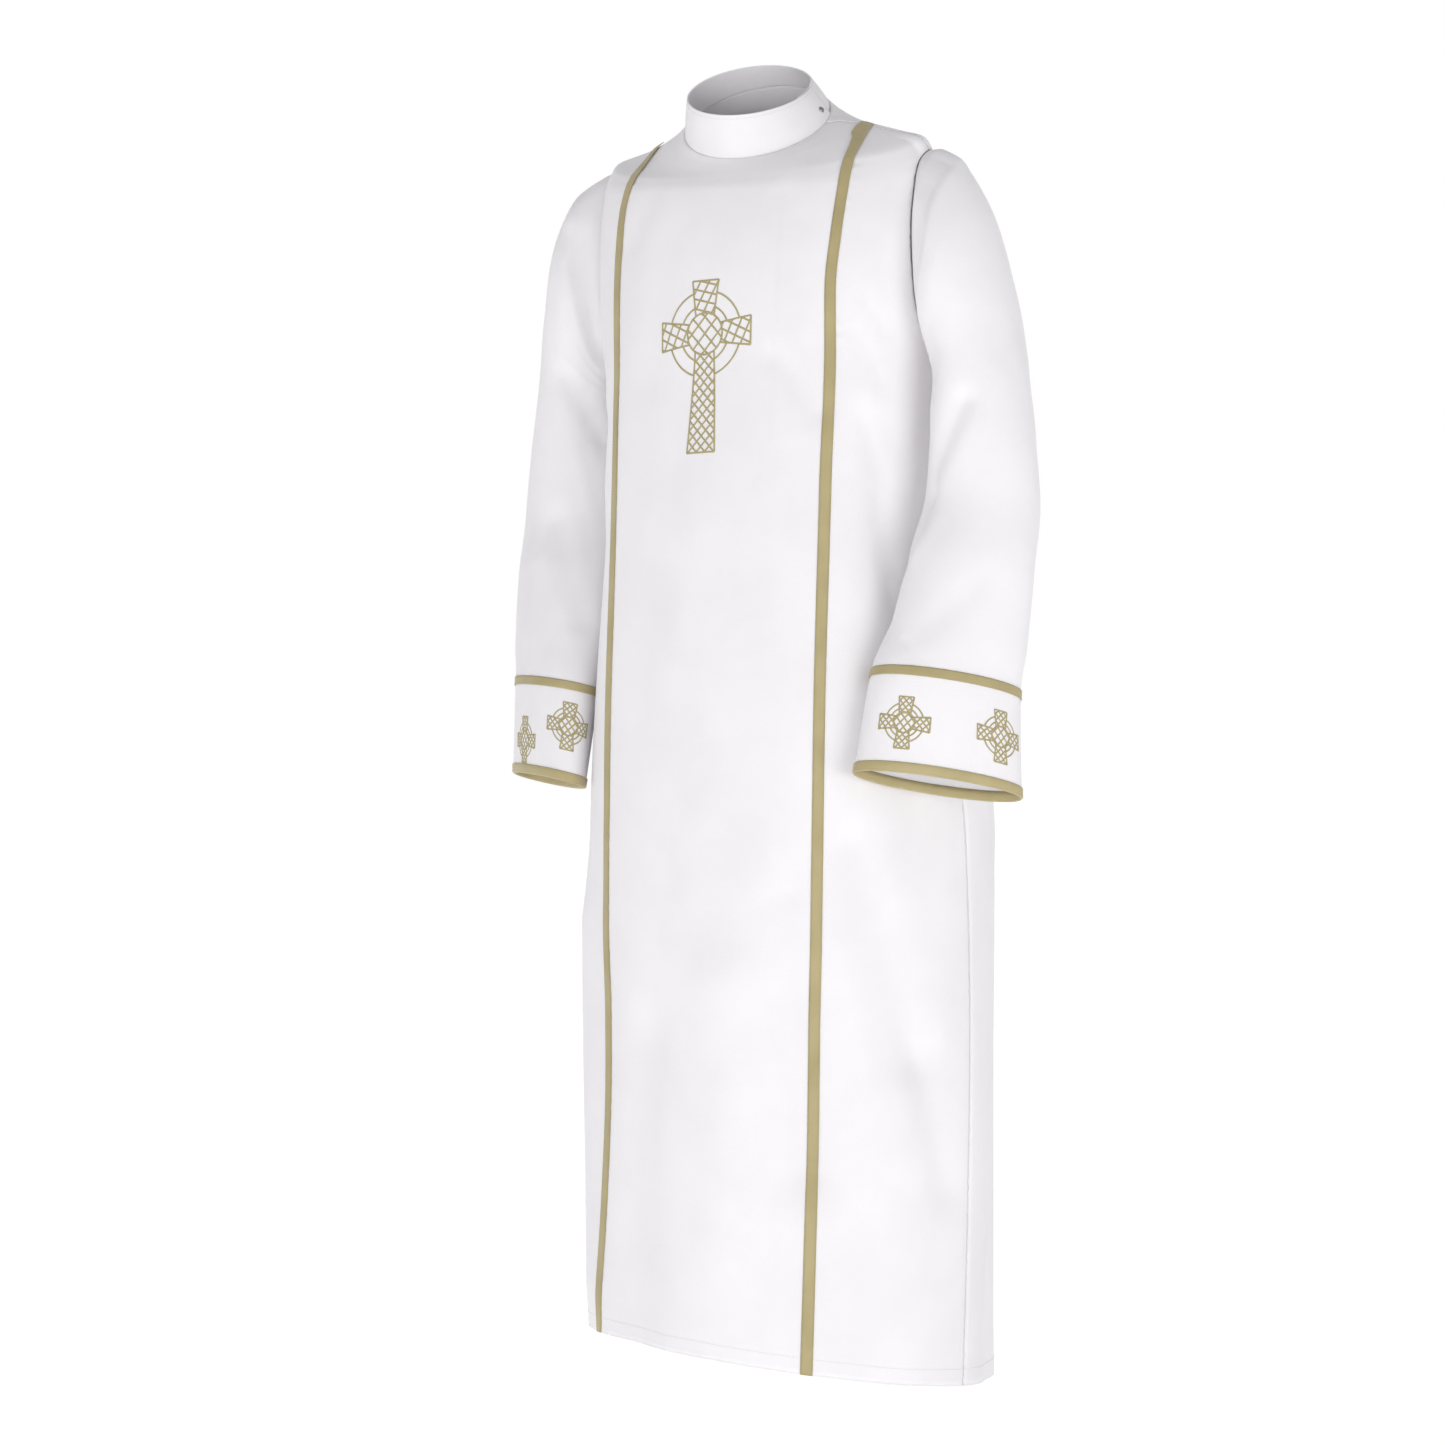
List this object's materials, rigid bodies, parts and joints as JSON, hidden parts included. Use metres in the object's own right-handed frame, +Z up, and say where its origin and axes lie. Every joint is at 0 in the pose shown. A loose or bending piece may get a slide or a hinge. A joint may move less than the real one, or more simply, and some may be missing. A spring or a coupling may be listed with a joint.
{
  "type": "alb",
  "caption": "Long-sleeved white alb with a standing collar, gold ribbon bands over both front seams, and gold trimmed cuffs with ringed crosses.",
  "frame": {"origin": "centre of the neck ring, where the collar is sewn to the body: the point where the wearer's neck and shoulders hold the alb up", "axes": "+Z up, -Y the front, +X the wearer's left"},
  "size_m": [0.6642, 0.4545, 1.4926],
  "materials": {
    "white_cloth": "matt, lightly textured white weave",
    "gold_ribbon": "muted gold woven ribbon with a soft sheen",
    "snap_metal": "dull dark press stud"
  },
  "bodies": {
    "root": {"front_panel": "white_cloth", "back_panel": "white_cloth", "collar": "white_cloth", "collar_stud": "snap_metal", "side_front_left": "white_cloth", "band_left": "gold_ribbon", "sleeve_left": "white_cloth", "cuff_left": "white_cloth", "cuff_ribbon_left": "gold_ribbon", "cuff_binding_left": "gold_ribbon", "side_front_right": "white_cloth", "band_right": "gold_ribbon", "sleeve_right": "white_cloth", "cuff_right": "white_cloth", "cuff_ribbon_right": "gold_ribbon", "cuff_binding_right": "gold_ribbon"}
  },
  "joints": []
}
